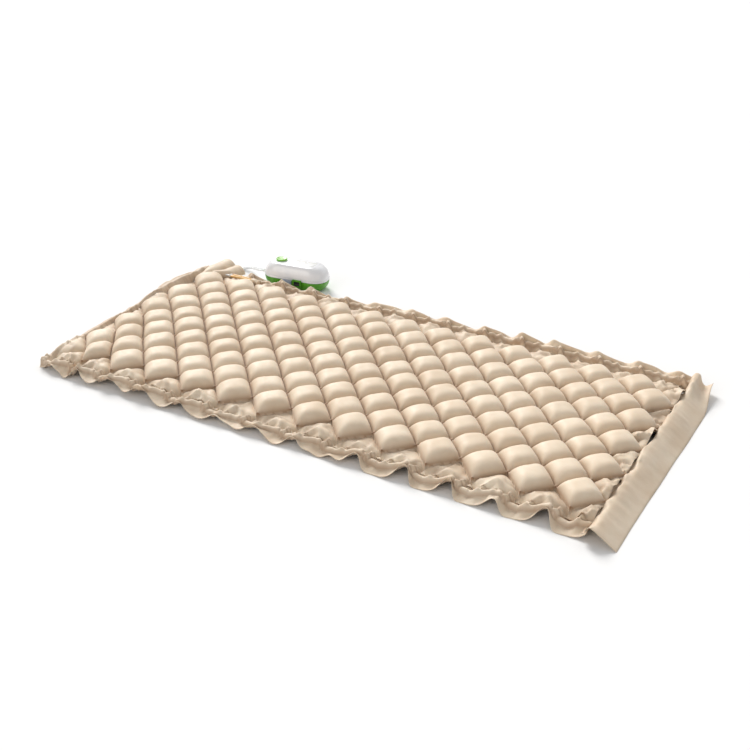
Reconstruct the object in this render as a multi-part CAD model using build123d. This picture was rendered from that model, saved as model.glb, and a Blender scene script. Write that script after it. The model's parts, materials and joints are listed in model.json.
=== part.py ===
from build123d import *
from math import pi, radians, tan
import os

# Alternating-pressure bubble mattress with its air pump, in millimetres.
# Origin: centre of the pad's underside, on the floor. +X runs to the foot end,
# +Y to the side where the pump stands, +Z up.

# Bubble field: 10 rows across the width, 13 bubbles in each row, every other row
# moved half a pitch along, so that the bubbles are diamonds standing on their corners.
CELL_PITCH = 130.0
ROW_PITCH = 76.0
CELLS_PER_ROW = 13
ROWS = 10
SEAM_SHRINK = 0.97
CORNER_CUT = 6.0
CELL_HEIGHT = 65.0
CELL_BOTTOM = 1.8
# Height and share of the full diamond for each level of one inflated bubble.
CELL_LEVELS = [(CELL_BOTTOM, 0.50), (9.0, 0.80), (18.0, 0.94), (27.0, 1.00),
               (42.0, 0.94), (53.0, 0.78), (61.0, 0.54), (CELL_HEIGHT, 0.28)]

NECK_WIDTH = 10.0
NECK_HEIGHT = 8.0
NECK_Z = 24.0
NECK_REACH = 14.0

FIELD_X = (CELLS_PER_ROW + 0.5) * CELL_PITCH
FIELD_Y = (ROWS + 1) * ROW_PITCH
BASE_THICKNESS = 1.5
BASE_WIDTH = 908.0

CHANNEL_WIDTH = 16.0
CHANNEL_INNER_Y = FIELD_Y / 2 + 18.0
CHANNEL_LOW = 4.0
CHANNEL_HIGH = 28.0
SIDE_CHANNEL_X = -888.0
SIDE_CHANNEL_WIDTH = 14.0

HEM_THICKNESS = 2.0
SHEET_GAP = 0.3
FRONT_HEM_EDGE = -494.0
BACK_HEM_EDGE = 480.0
LEFT_EDGE = -905.0
LEFT_STRIP_BACK = 428.0

FLAP_HINGE_X = 881.0
FLAP_HINGE_Z = 18.0
FLAP_EDGE_X = 958.0
FLAP_BACK = 500.0

FOLD_FRONT = 432.0
FOLD_BACK = 545.0
FOLD_RIGHT = -776.0
FOLD_UNDER = 48.0
FOLD_TOP = 62.0
FOLD_SPINE = 7.0

# Air inlet at the back left corner: a welded twin port, two latex tubes and
# a twin joiner to the pump's hoses.
PORT_LEFT = -694.0
PORT_LENGTH = 22.0
PORT_Y = 426.0
PORT_DEPTH = 19.0
PORT_Z = 39.5
PORT_HEIGHT = 13.0
TUBE_SPACING = 10.0
TUBE_RADIUS = 4.0
TUBE_BORE = 2.5
TUBE_LENGTH = 87.0
SPIGOT_LENGTH = 12.0
JOINER_LENGTH = 8.0

HOSE_RADIUS = 3.0

# Pump: own frame with its origin under its centre, turned a little on the floor.
PUMP_X = -590.0
PUMP_Y = 563.0
PUMP_TURN = 8.0
PUMP_LENGTH = 241.0
PUMP_DEPTH = 114.0
PUMP_TOP = 88.0
SPLIT_Z = 30.0
SPLIT_GAP = 0.3
WALL = 2.5
FOOT_HEIGHT = 4.0
FOOT_RADIUS = 9.0
FOOT_X = 80.0
FOOT_Y = 30.0

DIAL_X = -62.0
DIAL_RADIUS = 20.0
DIAL_LOW = 89.5
DIAL_HIGH = 95.0
DIAL_STEM_LOW = 66.0
SPINDLE_RADIUS = 4.0
RUNNING_GAP = 0.05
VALVE_LOW = 60.0
VALVE_HIGH = 84.0
VALVE_FLOOR = 64.0
VALVE_RADIUS = 10.0

TOP_PANEL_X = 30.0
TOP_PANEL_LENGTH = 108.0
TOP_PANEL_DEPTH = 62.0
TOP_PANEL_CORNER = 12.0
TOP_PANEL_THICKNESS = 1.0

# Windows in the front of the case, and the gap left around what fills them.
WINDOW_GAP = 0.2
WINDOW_FRONT = -70.0
PANEL_LEFT = -36.0
PANEL_RIGHT = 2.0
PANEL_LOW = 22.0
PANEL_HIGH = 38.0
PANEL_FACE = -58.2
PANEL_THICKNESS = 3.0
CORNER_ROUND = 3.0

SWITCH_X = 24.0
SWITCH_Z = 29.0
SWITCH_PIVOT_Y = -56.0
BEZEL_HALF_WIDTH = 17.0
BEZEL_HALF_HEIGHT = 14.0
BEZEL_FACE = -60.0
BEZEL_BACK = -44.0
BEZEL_FLOOR = -47.0
OPENING_HALF_WIDTH = 11.0
OPENING_HALF_HEIGHT = 8.0
PIN_BORE_HALF = 13.5
PIN_HALF = 13.0
ROCKER_RADIUS = 7.6
# Cut that dishes the rocker's front face, seen from its side: depth and height.
ROCKER_CUT = [(-9, -9), (-6.6, -9), (-4.8, 0), (-6.6, 9), (-9, 9)]
ROCKER_BACK = 5.0
ROCKER_SPACE = 9.0
ROCKER_WIDTH = 21.4
ROCKER_TILT = 8.0
PIN_RADIUS = 1.5

NOZZLE_Z = 38.0
NOZZLE_SPACING = 16.0
NOZZLE_TIP = -134.0
NOZZLE_RADIUS = 2.5
NOZZLE_COLLAR_RADIUS = 3.5
NOZZLE_COLLAR_LEFT = -122.0
NOZZLE_COLLAR_RIGHT = -115.0
NOZZLE_PLATE_HALF = 15.0

INNER_FLOOR = FOOT_HEIGHT + WALL
ROTOR_X = -66.0
DISTRIBUTOR_RADIUS = 17.0
DISTRIBUTOR_TOP = 28.0
ROTOR_RADIUS = 15.0
ROTOR_PLATE_LOW = 28.4
ROTOR_PLATE_HIGH = 32.0
ROTOR_PORT_X = 9.0
MAGNET_BASE = 4.0
MAGNET_TOP = 50.0
ARM_PIVOT_X = -14.0
ARM_LOW = 20.0
ARM_HIGH = 36.0
ARM_Y = 23.0
ARM_LENGTH = 62.0
ARM_PIN_RADIUS = 1.45

INLET_X = 62.0
INLET_Z = 44.0
INLET_RADIUS = 7.0
INLET_BORE = 3.5
INLET_FRONT = 52.0
INLET_BACK = 64.0


def block(x0, x1, y0, y1, z0, z1):
    return Pos((x0 + x1) / 2, (y0 + y1) / 2, (z0 + z1) / 2) * Box(x1 - x0, y1 - y0, z1 - z0)


def column(x, y, z0, z1, radius):
    return Pos(x, y, (z0 + z1) / 2) * Cylinder(radius, z1 - z0)


def rod_x(x0, x1, y, z, radius):
    return Pos((x0 + x1) / 2, y, z) * Rot(0, 90, 0) * Cylinder(radius, x1 - x0)


def rod_y(x, y0, y1, z, radius):
    return Pos(x, (y0 + y1) / 2, z) * Rot(90, 0, 0) * Cylinder(radius, y1 - y0)


def on_pump(shape):
    return Pos(PUMP_X, PUMP_Y, 0) * Rot(0, 0, PUMP_TURN) * shape


def diamond(share, z):
    half_x = CELL_PITCH / 2 * SEAM_SHRINK
    half_y = ROW_PITCH * SEAM_SHRINK
    cut_x = half_x - CORNER_CUT
    cut_y = half_y * CORNER_CUT / half_x
    points = [(cut_x, cut_y), (0, half_y), (-cut_x, cut_y), (-cut_x, -cut_y), (0, -half_y), (cut_x, -cut_y)]
    return Pos(0, 0, z) * Polygon(*[(x * share, y * share) for x, y in points], align=None)


def bubble():
    return loft([diamond(share, z) for z, share in CELL_LEVELS], ruled=True)


def cell_line(x, rows, one_bubble, neck_ends):
    """A chain of bubbles across the pad, joined by the necks that pass the air on."""
    line = [Pos(x, (row - (ROWS - 1) / 2) * ROW_PITCH, 0) * one_bubble for row in rows]
    middles = [(row + 1 - (ROWS - 1) / 2) * ROW_PITCH for row in rows[:-1]]
    spans = [(y - NECK_REACH, y + NECK_REACH) for y in middles] + [neck_ends]
    necks = [block(x - NECK_WIDTH / 2, x + NECK_WIDTH / 2, y0, y1, NECK_Z - NECK_HEIGHT / 2,
                   NECK_Z + NECK_HEIGHT / 2) for y0, y1 in spans]
    return line[0] + line[1:] + necks


def cell_lines():
    one_bubble = bubble()
    first_x = (CELL_PITCH - FIELD_X) / 2
    corner_y = FIELD_Y / 2
    front_neck = (-CHANNEL_INNER_Y, NECK_REACH - corner_y)
    back_neck = (corner_y - NECK_REACH, CHANNEL_INNER_Y)
    lines = {}
    for i in range(CELLS_PER_ROW):
        x_b = first_x + i * CELL_PITCH
        x_a = x_b + CELL_PITCH / 2
        lines[f"cell_line_a_{i + 1:02d}"] = cell_line(x_a, range(0, ROWS, 2), one_bubble, front_neck)
        lines[f"cell_line_b_{i + 1:02d}"] = cell_line(x_b, range(1, ROWS, 2), one_bubble, back_neck)
    return lines


def channel(x0, x1, y0, y1):
    tube = block(x0, x1, y0, y1, CHANNEL_LOW, CHANNEL_HIGH)
    along = Axis.X if x1 - x0 > y1 - y0 else Axis.Y
    return fillet(tube.edges().filter_by(along), 5.0)


def side_channel():
    x0 = SIDE_CHANNEL_X - SIDE_CHANNEL_WIDTH / 2
    x1 = SIDE_CHANNEL_X + SIDE_CHANNEL_WIDTH / 2
    back = CHANNEL_INNER_Y + CHANNEL_WIDTH
    run = block(x0, x1, -CHANNEL_INNER_Y, back, CHANNEL_LOW, CHANNEL_HIGH)
    turn = block(x0, PORT_LEFT, CHANNEL_INNER_Y, back, CHANNEL_LOW, CHANNEL_HIGH)
    return run + turn


def right_end_flap():
    profile = Plane.XZ * Polygon((FLAP_HINGE_X, FLAP_HINGE_Z - 1), (FLAP_HINGE_X, FLAP_HINGE_Z + 1),
                                 (FLAP_EDGE_X, HEM_THICKNESS), (FLAP_EDGE_X, 0), align=None)
    return Pos(0, FLAP_BACK, 0) * extrude(profile, FLAP_BACK - FRONT_HEM_EDGE, dir=(0, -1, 0))


def corner_fold():
    spine = block(LEFT_EDGE, LEFT_EDGE + FOLD_SPINE, FOLD_FRONT, FOLD_BACK, 0.5, FOLD_TOP)
    lid = block(LEFT_EDGE, FOLD_RIGHT, FOLD_FRONT, FOLD_BACK, FOLD_UNDER, FOLD_TOP)
    return spine + lid


def tube_rows():
    return [PORT_Y - TUBE_SPACING / 2, PORT_Y + TUBE_SPACING / 2]


def twin_inlet_port():
    port = block(PORT_LEFT, PORT_LEFT + PORT_LENGTH, PORT_Y - PORT_DEPTH / 2, PORT_Y + PORT_DEPTH / 2,
                 PORT_Z - PORT_HEIGHT / 2, PORT_Z + PORT_HEIGHT / 2)
    port = fillet(port.edges().filter_by(Axis.Z), 4.0)
    for y in tube_rows():
        port += rod_x(PORT_LEFT - SPIGOT_LENGTH, PORT_LEFT, y, PORT_Z, TUBE_BORE)
    return port


def inlet_tube(y):
    right = PORT_LEFT
    left = right - TUBE_LENGTH
    return rod_x(left, right, y, PORT_Z, TUBE_RADIUS) - rod_x(left, right, y, PORT_Z, TUBE_BORE)


def hose_joiner():
    right = PORT_LEFT - TUBE_LENGTH
    left = right - JOINER_LENGTH
    joiner = block(left, right, PORT_Y - TUBE_SPACING / 2, PORT_Y + TUBE_SPACING / 2,
                   PORT_Z - 2.0, PORT_Z + 2.0)
    for y in tube_rows():
        joiner += rod_x(left, right, y, PORT_Z, TUBE_RADIUS)
        joiner += rod_x(right, right + SPIGOT_LENGTH, y, PORT_Z, TUBE_BORE)
    return joiner


# Route of each air hose, from its nozzle on the pump to the joiner.
HOSE_INNER_ROUTE = [
    (-721.6, 536.4, 38.0), (-739.4, 533.9, 38.0), (-756.0, 537.0, 36.5), (-772.5, 548.0, 32.0),
    (-787.5, 564.5, 25.5), (-803.0, 580.0, 17.5), (-822.0, 588.0, 10.0), (-842.0, 587.0, 5.5),
    (-858.5, 577.0, 3.5), (-869.0, 560.0, 3.5), (-872.0, 540.0, 5.0), (-869.0, 518.0, 11.5),
    (-863.5, 495.5, 21.0), (-856.0, 474.5, 30.5), (-846.0, 456.5, 37.0), (-833.5, 443.0, 40.0),
    (-819.5, 434.5, 40.0), (-804.5, 431.0, 39.5), (-789.0, 431.0, 39.5)]
HOSE_OUTER_ROUTE = [
    (-723.8, 552.3, 38.0), (-741.6, 549.8, 38.0), (-758.5, 553.0, 36.0), (-774.0, 564.5, 31.0),
    (-788.5, 580.5, 24.0), (-804.5, 593.5, 16.0), (-823.5, 600.5, 9.5), (-845.0, 597.0, 5.5),
    (-865.0, 584.5, 3.5), (-878.0, 563.5, 3.5), (-881.5, 540.0, 5.0), (-878.5, 516.0, 11.5),
    (-872.5, 493.0, 21.0), (-864.5, 470.5, 30.5), (-853.5, 451.0, 37.0), (-839.5, 435.5, 40.0),
    (-823.0, 425.5, 40.0), (-806.0, 421.0, 39.5), (-789.0, 421.0, 39.5)]


def hose(name, route):
    points = [Vector(*p) for p in route]
    radii = []
    for before, at, after in zip(points, points[1:], points[2:]):
        turn = (at - before).get_angle(after - at)
        shorter = min((at - before).length, (after - at).length)
        radii.append(0.45 * shorter / tan(radians(turn / 2)))
    path = FilletPolyline(*points, radius=radii)
    start = Plane(origin=path @ 0, z_dir=path % 0)
    tube = sweep(start * Circle(HOSE_RADIUS), path=path)
    expected = pi * HOSE_RADIUS ** 2 * path.length
    print(name, "length", round(path.length, 1), "radii", [round(r) for r in radii],
          "volume share", round(tube.volume / expected, 4))
    return tube


# Outline of the pump's white upper half and green lower half, level by level:
# height, length, depth and corner radius.
UPPER_LEVELS = [(SPLIT_Z + SPLIT_GAP, PUMP_LENGTH, PUMP_DEPTH, 50.0), (36.0, PUMP_LENGTH, PUMP_DEPTH, 50.0),
                (60.0, 236.0, 111.0, 49.0), (74.0, 222.0, 104.0, 46.0), (83.0, 202.0, 94.0, 42.0),
                (PUMP_TOP, 180.0, 82.0, 37.0)]
LOWER_LEVELS = [(FOOT_HEIGHT, 198.0, 95.0, 39.5), (14.0, 224.0, 106.0, 46.5), (SPLIT_Z, 239.0, 112.8, 49.5)]


def level_loft(levels, inset):
    return loft([Pos(0, 0, z) * RectangleRounded(length - 2 * inset, depth - 2 * inset, radius - inset)
                 for z, length, depth, radius in levels], ruled=True)


def pump_upper_shell():
    inner = UPPER_LEVELS[:-1] + [(PUMP_TOP - WALL, 184.0, 84.0, 38.0)]
    shell = level_loft(UPPER_LEVELS, 0) - level_loft(inner, WALL)
    shell -= column(DIAL_X, 0, PUMP_TOP - 2 * WALL, PUMP_TOP + WALL, SPINDLE_RADIUS + 1)
    shell -= switch_window()
    shell -= panel_window()
    shell -= rod_y(INLET_X, INLET_FRONT - 10, INLET_BACK + 5, INLET_Z, INLET_RADIUS + WINDOW_GAP)
    end = -PUMP_LENGTH / 2
    for y in nozzle_rows():
        shell -= rod_x(end - 5, end + 10, y, NOZZLE_Z, NOZZLE_COLLAR_RADIUS + WINDOW_GAP)
    return shell


def pump_lower_shell():
    inner = [(INNER_FLOOR, 203.0, 97.0, 41.0), (14.0, 224.0, 106.0, 46.5), (SPLIT_Z + 1, 240.0, 113.2, 49.8)]
    shell = level_loft(LOWER_LEVELS, 0) - level_loft(inner, WALL)
    shell -= switch_window()
    shell -= panel_window()
    return shell


def switch_window():
    x, z = BEZEL_HALF_WIDTH + WINDOW_GAP, BEZEL_HALF_HEIGHT + WINDOW_GAP
    return block(SWITCH_X - x, SWITCH_X + x, WINDOW_FRONT, BEZEL_BACK, SWITCH_Z - z, SWITCH_Z + z)


def panel_window():
    back = PANEL_FACE + 2 * PANEL_THICKNESS
    return block(PANEL_LEFT - WINDOW_GAP, PANEL_RIGHT + WINDOW_GAP, WINDOW_FRONT, back,
                 PANEL_LOW - WINDOW_GAP, PANEL_HIGH + WINDOW_GAP)


def nozzle_rows():
    return (-NOZZLE_SPACING / 2, NOZZLE_SPACING / 2)


def rocker_axis_rod(x0, x1, radius):
    return rod_x(x0, x1, SWITCH_PIVOT_Y, SWITCH_Z, radius)


def switch_bezel():
    bezel = block(SWITCH_X - BEZEL_HALF_WIDTH, SWITCH_X + BEZEL_HALF_WIDTH, BEZEL_FACE, BEZEL_BACK,
                  SWITCH_Z - BEZEL_HALF_HEIGHT, SWITCH_Z + BEZEL_HALF_HEIGHT)
    bezel = fillet(bezel.edges().filter_by(Axis.Y), CORNER_ROUND)
    bezel -= block(SWITCH_X - OPENING_HALF_WIDTH, SWITCH_X + OPENING_HALF_WIDTH, BEZEL_FACE - 1, BEZEL_FLOOR,
                   SWITCH_Z - OPENING_HALF_HEIGHT, SWITCH_Z + OPENING_HALF_HEIGHT)
    bezel -= rocker_axis_rod(SWITCH_X - PIN_BORE_HALF, SWITCH_X + PIN_BORE_HALF, PIN_RADIUS + RUNNING_GAP)
    return bezel


def power_rocker():
    half = ROCKER_WIDTH / 2
    body = rod_x(-half, half, 0, 0, ROCKER_RADIUS)
    front = Plane.YZ * Polygon(*ROCKER_CUT, align=None)
    body -= Pos(-half, 0, 0) * extrude(front, ROCKER_WIDTH, dir=(1, 0, 0))
    body -= block(-half, half, ROCKER_BACK, ROCKER_SPACE, -ROCKER_SPACE, ROCKER_SPACE)
    body += rod_x(-PIN_HALF, PIN_HALF, 0, 0, PIN_RADIUS)
    return Pos(SWITCH_X, SWITCH_PIVOT_Y, SWITCH_Z) * Rot(-ROCKER_TILT, 0, 0) * body


def front_panel():
    panel = block(PANEL_LEFT, PANEL_RIGHT, PANEL_FACE, PANEL_FACE + PANEL_THICKNESS, PANEL_LOW, PANEL_HIGH)
    return fillet(panel.edges().filter_by(Axis.Y), CORNER_ROUND)


def top_panel():
    outline = RectangleRounded(TOP_PANEL_LENGTH, TOP_PANEL_DEPTH, TOP_PANEL_CORNER)
    plate = Pos(TOP_PANEL_X, 0, PUMP_TOP) * extrude(outline, TOP_PANEL_THICKNESS)
    return chamfer(plate.edges().group_by(Axis.Z)[-1], TOP_PANEL_THICKNESS / 2)


def pressure_dial():
    cap = column(DIAL_X, 0, DIAL_LOW, DIAL_HIGH, DIAL_RADIUS)
    cap = fillet(cap.edges().group_by(Axis.Z)[-1], 2.0)
    return cap + column(DIAL_X, 0, DIAL_STEM_LOW, DIAL_LOW, SPINDLE_RADIUS)


def pressure_valve():
    bore = column(DIAL_X, 0, VALVE_FLOOR, VALVE_HIGH + 1, SPINDLE_RADIUS + RUNNING_GAP)
    return column(DIAL_X, 0, VALVE_LOW, VALVE_HIGH, VALVE_RADIUS) - bore


def outlet_nozzles():
    piece = block(-115.5, -112.5, -NOZZLE_PLATE_HALF, NOZZLE_PLATE_HALF, 32, 45)
    for y in nozzle_rows():
        piece += rod_x(NOZZLE_COLLAR_LEFT, NOZZLE_COLLAR_RIGHT, y, NOZZLE_Z, NOZZLE_COLLAR_RADIUS)
        piece += rod_x(NOZZLE_TIP, NOZZLE_COLLAR_LEFT + 1, y, NOZZLE_Z, NOZZLE_RADIUS)
    return piece


def distributor_body():
    bore = column(ROTOR_X, 0, INNER_FLOOR + 3, DISTRIBUTOR_TOP + 1, SPINDLE_RADIUS + RUNNING_GAP)
    return column(ROTOR_X, 0, INNER_FLOOR, DISTRIBUTOR_TOP, DISTRIBUTOR_RADIUS) - bore


def distributor_rotor():
    rotor = column(ROTOR_X, 0, 12, ROTOR_PLATE_LOW, SPINDLE_RADIUS)
    rotor += column(ROTOR_X, 0, ROTOR_PLATE_LOW, ROTOR_PLATE_HIGH, ROTOR_RADIUS)
    return rotor - column(ROTOR_X + ROTOR_PORT_X, 0, ROTOR_PLATE_LOW - 1, ROTOR_PLATE_HIGH + 1, 2.5)


def electromagnet():
    base_top = INNER_FLOOR + MAGNET_BASE
    core = block(-20, 56, -28, 28, INNER_FLOOR, base_top) + block(12, 54, -14, 14, base_top, MAGNET_TOP)
    for y in (-ARM_Y, ARM_Y):
        core += column(ARM_PIVOT_X, y, base_top, 40, ARM_PIN_RADIUS)
    return core


def swing_arm(side):
    y = side * ARM_Y
    arm = block(ARM_PIVOT_X - 5, ARM_PIVOT_X + ARM_LENGTH, y - 2.5, y + 2.5, ARM_LOW, ARM_HIGH)
    magnet = block(28, 46, y - 4, y + 4, ARM_LOW + 2, ARM_HIGH - 2)
    return arm + magnet - column(ARM_PIVOT_X, y, ARM_LOW - 1, ARM_HIGH + 1, ARM_PIN_RADIUS + RUNNING_GAP)


def mains_inlet():
    collar = rod_y(INLET_X, INLET_FRONT, INLET_BACK, INLET_Z, INLET_RADIUS)
    return collar - rod_y(INLET_X, INLET_FRONT - 1, INLET_BACK + 1, INLET_Z, INLET_BORE)


def build():
    nodes = cell_lines()
    half_x = FIELD_X / 2
    outer = CHANNEL_INNER_Y + CHANNEL_WIDTH
    nodes["base_sheet"] = block(-half_x, half_x, -BASE_WIDTH / 2, BASE_WIDTH / 2, 0, BASE_THICKNESS)
    nodes["front_air_channel"] = channel(LEFT_EDGE + 10, half_x - 40, -outer, -CHANNEL_INNER_Y)
    nodes["back_air_channel"] = channel(PORT_LEFT + 1, half_x - 100, CHANNEL_INNER_Y, outer)
    nodes["side_air_channel"] = side_channel()
    nodes["front_hem"] = block(LEFT_EDGE, half_x, FRONT_HEM_EDGE, -BASE_WIDTH / 2 - SHEET_GAP,
                               0, HEM_THICKNESS)
    nodes["back_hem"] = block(FOLD_RIGHT, half_x, BASE_WIDTH / 2 + SHEET_GAP, BACK_HEM_EDGE,
                              0, HEM_THICKNESS)
    nodes["left_end_strip"] = block(LEFT_EDGE, -half_x - SHEET_GAP, -BASE_WIDTH / 2, LEFT_STRIP_BACK,
                                    0, HEM_THICKNESS)
    nodes["corner_fold"] = corner_fold()
    nodes["right_end_flap"] = right_end_flap()
    nodes["twin_inlet_port"] = twin_inlet_port()
    nodes["inlet_tube_front"] = inlet_tube(tube_rows()[0])
    nodes["inlet_tube_back"] = inlet_tube(tube_rows()[1])
    nodes["hose_joiner"] = hose_joiner()
    nodes["air_hose_inner"] = hose("air_hose_inner", HOSE_INNER_ROUTE)
    nodes["air_hose_outer"] = hose("air_hose_outer", HOSE_OUTER_ROUTE)

    pump = {
        "pump_upper_shell": pump_upper_shell(),
        "pump_lower_shell": pump_lower_shell(),
        "top_panel": top_panel(),
        "front_panel": front_panel(),
        "pressure_dial": pressure_dial(),
        "pressure_valve": pressure_valve(),
        "switch_bezel": switch_bezel(),
        "power_rocker": power_rocker(),
        "outlet_nozzles": outlet_nozzles(),
        "mains_inlet": mains_inlet(),
        "distributor_body": distributor_body(),
        "distributor_rotor": distributor_rotor(),
        "electromagnet": electromagnet(),
        "swing_arm_front": swing_arm(-1),
        "swing_arm_back": swing_arm(1),
    }
    feet = [(x, y) for x in (-FOOT_X, FOOT_X) for y in (-FOOT_Y, FOOT_Y)]
    for number, (x, y) in enumerate(feet, start=1):
        pump[f"pump_foot_{number}"] = column(x, y, 0, FOOT_HEIGHT, FOOT_RADIUS)
    for name, shape in pump.items():
        nodes[name] = on_pump(shape)
    return nodes


os.makedirs("parts", exist_ok=True)
for node, shape in build().items():
    export_step(shape, f"parts/{node}.step")
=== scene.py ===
import json
import math
import bpy
import bmesh
import numpy as np
from mathutils import Matrix, Vector


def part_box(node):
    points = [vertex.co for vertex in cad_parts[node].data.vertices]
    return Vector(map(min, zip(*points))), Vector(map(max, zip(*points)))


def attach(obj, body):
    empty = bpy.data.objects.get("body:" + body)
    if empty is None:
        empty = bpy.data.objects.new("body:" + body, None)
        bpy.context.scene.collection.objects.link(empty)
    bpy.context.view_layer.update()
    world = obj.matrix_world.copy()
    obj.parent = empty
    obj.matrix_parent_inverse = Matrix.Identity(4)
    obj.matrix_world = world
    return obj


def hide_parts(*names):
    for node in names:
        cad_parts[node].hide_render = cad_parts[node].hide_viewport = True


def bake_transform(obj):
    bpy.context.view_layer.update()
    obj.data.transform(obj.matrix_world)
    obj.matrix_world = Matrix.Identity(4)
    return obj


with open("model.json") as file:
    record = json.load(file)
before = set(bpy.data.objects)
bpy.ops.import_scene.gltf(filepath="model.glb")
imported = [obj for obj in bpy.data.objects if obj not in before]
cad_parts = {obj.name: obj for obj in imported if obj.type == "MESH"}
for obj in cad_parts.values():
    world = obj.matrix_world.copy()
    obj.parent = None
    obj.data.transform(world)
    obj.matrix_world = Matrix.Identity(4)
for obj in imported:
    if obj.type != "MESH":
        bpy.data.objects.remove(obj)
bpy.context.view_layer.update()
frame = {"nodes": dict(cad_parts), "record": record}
print("frame loaded:", len(frame["nodes"]), "nodes")

# Camera, low at the foot-end corner of the pad.
view = {"place": (1.4896, -2.7190, 1.4657), "turn": 27.99, "tilt": 64.92, "roll": 2.29, "lens": 54.45}
cameraData = bpy.data.cameras.new("camera")
cameraData.lens = view["lens"]
cameraData.sensor_width = 36
cameraData.clip_end = 50
camera = bpy.data.objects.new("camera", cameraData)
camera.matrix_world = (Matrix.Translation(view["place"])
                       @ Matrix.Rotation(math.radians(view["turn"]), 4, "Z")
                       @ Matrix.Rotation(math.radians(view["tilt"]), 4, "X")
                       @ Matrix.Rotation(math.radians(view["roll"]), 4, "Z"))


def link(thing):
    bpy.context.scene.collection.objects.link(thing)


link(camera)
bpy.context.scene.camera = camera


# Shader maths on node sockets.
class Value:
    def __init__(self, tree, socket):
        self.tree, self.socket = tree, socket

    def math(self, operation, first, second=0.0):
        node = self.tree.nodes.new("ShaderNodeMath")
        node.operation = operation
        for slotNumber, item in enumerate((first, second)):
            if isinstance(item, Value):
                self.tree.links.new(item.socket, node.inputs[slotNumber])
            else:
                node.inputs[slotNumber].default_value = item
        return Value(self.tree, node.outputs[0])

    def __add__(self, other): return self.math("ADD", self, other)
    def __radd__(self, other): return self.math("ADD", other, self)
    def __mul__(self, other): return self.math("MULTIPLY", self, other)


# One material: each method adds one kind of node to its tree.
class Finish:
    def __init__(self, name):
        self.material = bpy.data.materials.new(name)
        self.material.use_nodes = True
        self.tree = self.material.node_tree
        self.shader = self.tree.nodes["Principled BSDF"]

    def node(self, kind, settings, sockets, output=0):
        made = self.tree.nodes.new(kind)
        for key, value in settings.items():
            setattr(made, key, value)
        for key, value in sockets.items():
            if isinstance(value, Value):
                self.tree.links.new(value.socket, made.inputs[key])
            else:
                made.inputs[key].default_value = value
        return Value(self.tree, made.outputs[output])

    def place(self, scale):
        spot = self.node("ShaderNodeTexCoord", {}, {}, "Object")
        return self.node("ShaderNodeMapping", {}, {"Vector": spot, "Scale": scale})

    def noise(self, size, detail=2.0, rough=0.5, scale=(1, 1, 1)):
        return self.node("ShaderNodeTexNoise", {}, {"Vector": self.place(scale), "Scale": 1 / size,
                                                    "Detail": detail, "Roughness": rough})

    # reads a point attribute; the film reads its painted crease shade through it
    def shadeAttribute(self, name):
        return self.node("ShaderNodeAttribute", {"attribute_name": name}, {}, "Fac")

    def ramp(self, value, low, high, start=0.0, end=1.0):
        return self.node("ShaderNodeMapRange", {}, {"Value": value, "From Min": low, "From Max": high,
                                                    "To Min": start, "To Max": end})

    def blend(self, factor, first, second):
        return self.node("ShaderNodeMix", {"data_type": "RGBA"}, {0: factor, 6: first, 7: second}, 2)

    def bump(self, height, strength, distance):
        bumped = self.node("ShaderNodeBump", {}, {"Height": height, "Strength": strength,
                                                  "Distance": distance})
        self.tree.links.new(bumped.socket, self.shader.inputs["Normal"])

    def feed(self, **sockets):
        names = {"colour": "Base Color", "rough": "Roughness", "gloss": "Specular IOR Level",
                 "coat": "Coat Weight", "coatRough": "Coat Roughness", "sheen": "Sheen Weight",
                 "sheenRough": "Sheen Roughness", "glow": "Subsurface Weight",
                 "glowScale": "Subsurface Scale", "glowRadius": "Subsurface Radius"}
        for key, value in sockets.items():
            socket = self.shader.inputs[names[key]]
            if isinstance(value, Value):
                self.tree.links.new(value.socket, socket)
            else:
                socket.default_value = value


def tone(red, green, blue):
    # a screen colour, 0 to 255, as a linear colour
    def straight(c):
        c /= 255
        return c / 12.92 if c < 0.04045 else ((c + 0.055) / 1.055) ** 2.4
    return (straight(red), straight(green), straight(blue), 1)


def filmFinish():
    film = Finish("welded PVC film")
    # crease holds painted shade: how dark the film is made in its creases, seams and hollows; it also
    # strengthens the wrinkle bump
    crease = film.shadeAttribute("crease")
    cloud = film.noise(0.09, 3)
    streak = film.noise(0.012, 4, 0.6)
    light, middle, deep = tone(236, 219, 196), tone(224, 203, 177), tone(146, 112, 84)
    base = film.blend(film.ramp(cloud, 0.35, 0.65), light, middle)
    worn = film.blend(film.ramp(streak, 0.45, 0.7, 0, 0.25), base, middle)
    # painted shade: creases mixed towards the dark brown tone deep
    colour = film.blend(crease * 0.75, worn, deep)
    film.feed(colour=colour, rough=film.ramp(streak, 0.3, 0.7, 0.50, 0.62), gloss=0.24, sheen=0.15,
              sheenRough=0.4, glow=0.06, glowScale=0.004, glowRadius=(1.0, 0.5, 0.3))
    wrinkles = film.noise(0.006, 3, 0.55)
    grain = film.noise(0.0009, 2)
    film.bump(wrinkles * (0.25 + crease * 0.75) + grain * 0.12, 0.5, 0.0012)
    return film.material


def plasticFinish(name, colour, shade, rough, coat=0.0):
    plastic = Finish(name)
    cloud = plastic.noise(0.02, 3)
    grain = plastic.noise(0.0006, 2)
    plastic.feed(colour=plastic.blend(plastic.ramp(cloud, 0.35, 0.7), colour, shade),
                 rough=plastic.ramp(cloud, 0.3, 0.7, rough, rough + 0.07), gloss=0.5, coat=coat,
                 coatRough=0.12)
    plastic.bump(grain, 0.35, 0.00002)
    return plastic.material


def latexFinish():
    latex = Finish("amber latex")
    bands = latex.noise(0.004, 3, 0.6, (0.2, 1, 1))
    latex.feed(colour=latex.blend(bands, tone(248, 210, 146), tone(230, 180, 108)), rough=0.32, gloss=0.5,
               glow=0.25, glowScale=0.003, glowRadius=(1.0, 0.5, 0.2))
    latex.bump(latex.noise(0.0015, 2), 0.3, 0.0001)
    return latex.material


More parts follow.
